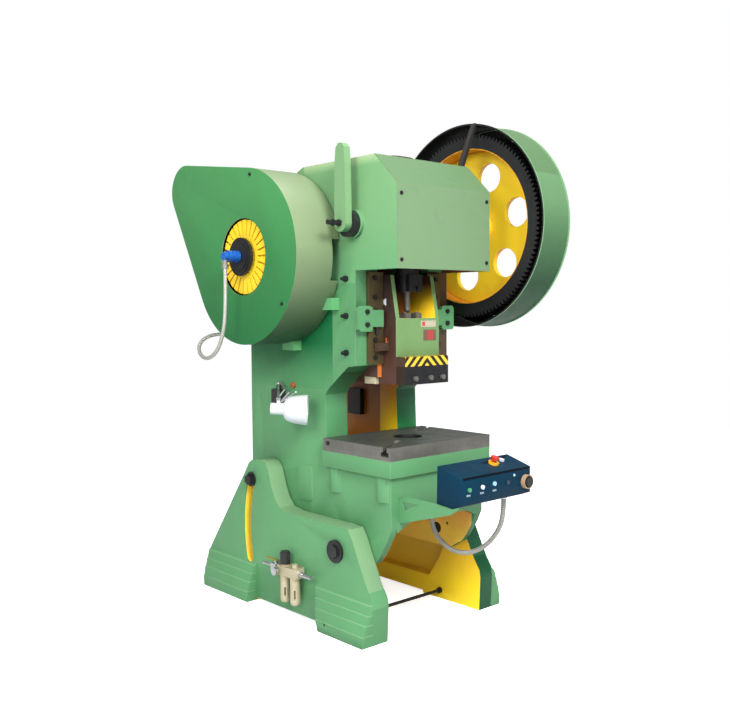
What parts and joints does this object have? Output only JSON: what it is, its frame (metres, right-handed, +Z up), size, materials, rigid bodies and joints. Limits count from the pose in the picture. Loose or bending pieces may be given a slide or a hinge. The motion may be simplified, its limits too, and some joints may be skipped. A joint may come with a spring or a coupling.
{
  "type": "mechanical stamping press",
  "caption": "Inclinable C-frame stamping press on two legs with geared crank drive, pneumatic clutch, bolster and push-button console.",
  "frame": {"origin": "centre of the four floor anchor holes in the feet, on the floor", "axes": "+X to the operator's right, +Y from the operator to the back, +Z up"},
  "size_m": [1.366, 1.9159, 2.5742],
  "materials": {
    "green_paint": "satin",
    "yellow_paint": "satin",
    "navy_paint": "satin",
    "black_paint": "satin",
    "white_enamel": "gloss",
    "blue_paint": "gloss",
    "machined_steel": "satin",
    "dark_steel": "satin",
    "cast_steel": "matte",
    "bronze": "satin",
    "air_unit_metal": "satin",
    "bright_steel": "polished",
    "black_plastic": "matte",
    "yellow_plastic": "gloss",
    "red_plastic": "gloss",
    "white_plastic": "gloss",
    "belt_rubber": "matte",
    "hose_braid": "matte",
    "conduit_grey": "matte"
  },
  "bodies": {
    "base": {"left_leg": "green_paint", "right_leg": "green_paint", "tie_rod": "dark_steel", "pivot_bolts": "dark_steel", "air_unit_body": "air_unit_metal", "air_pipework": "bright_steel"},
    "pressure_knob": {"regulator_knob": "black_plastic"},
    "air_cock": {"shutoff_lever": "yellow_plastic"},
    "frame": {"press_frame": "green_paint", "shaft_bushes": "bronze", "tilt_clamp_bolts": "dark_steel", "bolster": "cast_steel", "head_cover": "green_paint", "slide_guides": "machined_steel", "knockout_brackets": "green_paint", "guide_bolts": "dark_steel", "drive_belts": "belt_rubber", "rotary_union": "blue_paint", "motor": "green_paint", "motor_bracket": "green_paint", "belt_guard": "green_paint", "guard_brackets": "black_paint", "gear_guard": "green_paint", "cover_screws": "dark_steel", "lever_stud": "dark_steel", "console_box": "navy_paint", "console_arms": "green_paint", "button_collars": "yellow_plastic", "console_lights": "bright_steel", "lamp_box": "black_paint", "air_hose": "hose_braid", "console_conduit": "conduit_grey", "clutch_valve": "black_paint", "cord_fittings": "bright_steel", "terminal_boxes": "black_paint", "oil_tubes": "black_plastic"},
    "crank": {"crankshaft": "machined_steel", "bull_gear": "yellow_paint"},
    "pitman": {"connecting_rod": "dark_steel", "rod_cap": "dark_steel", "rod_bolts": "dark_steel", "ball_screw": "machined_steel"},
    "countershaft": {"pinion_shaft": "machined_steel", "clutch_cylinder": "dark_steel"},
    "wheel": {"flywheel": "cast_steel", "clutch_disc": "yellow_paint"},
    "motor_shaft": {"motor_pulley": "cast_steel"},
    "ram": {"slide": "green_paint", "ball_seat_retainer": "machined_steel", "hazard_bar": "yellow_paint", "shank_clamp": "dark_steel", "slide_bolts": "machined_steel", "slide_plates": "white_enamel"},
    "knockout": {"knockout_bar": "machined_steel"},
    "hand_lever": {"side_lever": "green_paint"},
    "lamp_link": {"lamp_arm": "bright_steel"},
    "lamp_head": {"lamp_shade": "white_enamel"},
    "stop": {"stop_button": "red_plastic"},
    "run": {"run_button": "white_plastic"},
    "palm": {"palm_button": "black_plastic"}
  },
  "joints": [
    {"name": "frame_tilt", "type": "hinge", "parent": "base", "child": "frame", "pos_m": [0, -0.5595, 0.405], "axis": [-1, 0, 0], "range_deg": [0, 25]},
    {"name": "crank_turn", "type": "hinge", "parent": "frame", "child": "crank", "pos_m": [0, -0.6241, 2.0332], "axis": [1, 0, 0], "continuous": true},
    {"name": "rod_pin", "type": "hinge", "parent": "crank", "child": "pitman", "pos_m": [0, -0.6241, 2.0832], "axis": [1, 0, 0], "continuous": true},
    {"name": "countershaft_turn", "type": "hinge", "parent": "frame", "child": "countershaft", "pos_m": [0, -0.0415, 1.863], "axis": [1, 0, 0], "continuous": true},
    {"name": "flywheel_turn", "type": "hinge", "parent": "frame", "child": "wheel", "pos_m": [-0.45, -0.0415, 1.863], "axis": [1, 0, 0], "continuous": true},
    {"name": "motor_turn", "type": "hinge", "parent": "frame", "child": "motor_shaft", "pos_m": [-0.45, 0.5175, 2.25], "axis": [1, 0, 0], "continuous": true},
    {"name": "ram_stroke", "type": "slide", "parent": "frame", "child": "ram", "axis": [0, 0, 1], "range_m": [-0.1, 0]},
    {"name": "knockout_lift", "type": "slide", "parent": "ram", "child": "knockout", "axis": [0, 0, 1], "range_m": [0, 0.0247]},
    {"name": "lever_swing", "type": "hinge", "parent": "frame", "child": "hand_lever", "pos_m": [-0.4, -0.5965, 2.006], "axis": [1, 0, 0], "range_deg": [-35, 90]},
    {"name": "lamp_arm_swing", "type": "hinge", "parent": "frame", "child": "lamp_link", "pos_m": [-0.346, 0.0145, 1.194], "axis": [0, 0, 1], "range_deg": [-70, 0]},
    {"name": "lamp_head_swing", "type": "hinge", "parent": "lamp_link", "child": "lamp_head", "pos_m": [-0.49827, -0.19006, 1.12839], "axis": [0, 0, 1], "range_deg": [-60, 0]},
    {"name": "pressure_knob_turn", "type": "hinge", "parent": "base", "child": "pressure_knob", "pos_m": [-0.472, -0.1975, 0.3], "axis": [0, 0, 1], "range_deg": [-360, 360]},
    {"name": "air_cock_turn", "type": "hinge", "parent": "base", "child": "air_cock", "pos_m": [-0.472, -0.1162, 0.279], "axis": [0, 0, 1], "range_deg": [0, 90]},
    {"name": "stop_press", "type": "slide", "parent": "frame", "child": "stop", "axis": [0, 0.2855, -0.9584], "range_m": [0, 0.006]},
    {"name": "run_press", "type": "slide", "parent": "frame", "child": "run", "axis": [0, 0.2855, -0.9584], "range_m": [0, 0.004], "stiffness_N_per_m": 800, "springref_m": -0.003},
    {"name": "palm_press", "type": "slide", "parent": "frame", "child": "palm", "axis": [0, 1, 0], "range_m": [0, 0.005], "stiffness_N_per_m": 1500, "springref_m": -0.003}
  ],
  "couplings": [
    {"joint": "rod_pin", "follows": "crank_turn", "ratio": -1},
    {"joint": "countershaft_turn", "follows": "crank_turn", "ratio": -3.75},
    {"joint": "motor_turn", "follows": "flywheel_turn", "ratio": 4.5165}
  ]
}
